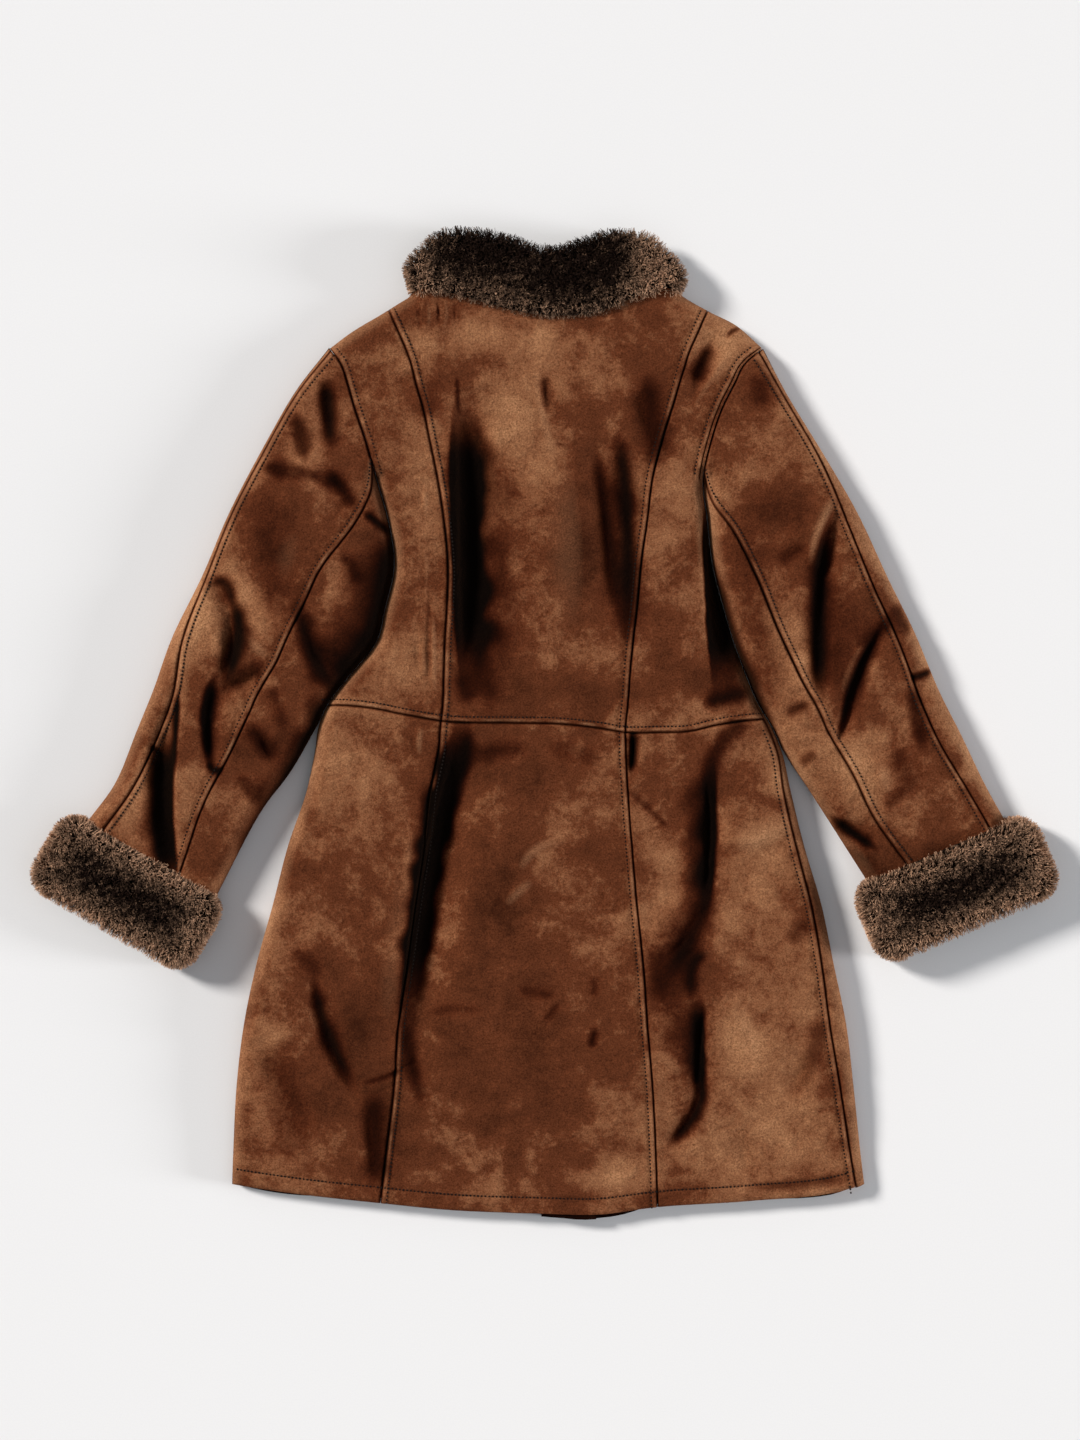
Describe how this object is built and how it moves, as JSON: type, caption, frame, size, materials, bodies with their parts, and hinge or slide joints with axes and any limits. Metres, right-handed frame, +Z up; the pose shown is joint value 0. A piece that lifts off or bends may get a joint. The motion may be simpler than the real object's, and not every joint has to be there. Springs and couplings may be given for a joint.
{
  "type": "shearling coat",
  "caption": "Women's mid-thigh shearling coat laid flat on its front: brown suede outside, curly fur stand collar and turned-back cuffs, princess seams and a waist seam.",
  "frame": {"origin": "on the surface that the coat lies on, under the middle of its box", "axes": "+X across the coat towards the wearer's right sleeve, +Y up the back from the hem to the collar, +Z up from the surface to the back of the coat"},
  "size_m": [0.9916, 0.9562, 0.039],
  "materials": {
    "suede": "napped suede, warm mottled brown with darker rubbed patches",
    "fur": "short dense curly sheep fur, dark brown with paler tips"
  },
  "bodies": {
    "root": {"back_centre_bodice": "suede", "back_side_bodice_left": "suede", "back_side_bodice_right": "suede", "back_centre_skirt": "suede", "back_side_skirt_left": "suede", "back_side_skirt_right": "suede", "front_left": "suede", "front_right": "suede", "sleeve_back_left": "suede", "sleeve_back_right": "suede", "sleeve_under_left": "suede", "sleeve_under_right": "suede", "sleeve_front_left": "suede", "sleeve_front_right": "suede", "cuff_left": "fur", "cuff_right": "fur", "collar": "fur"}
  },
  "joints": []
}
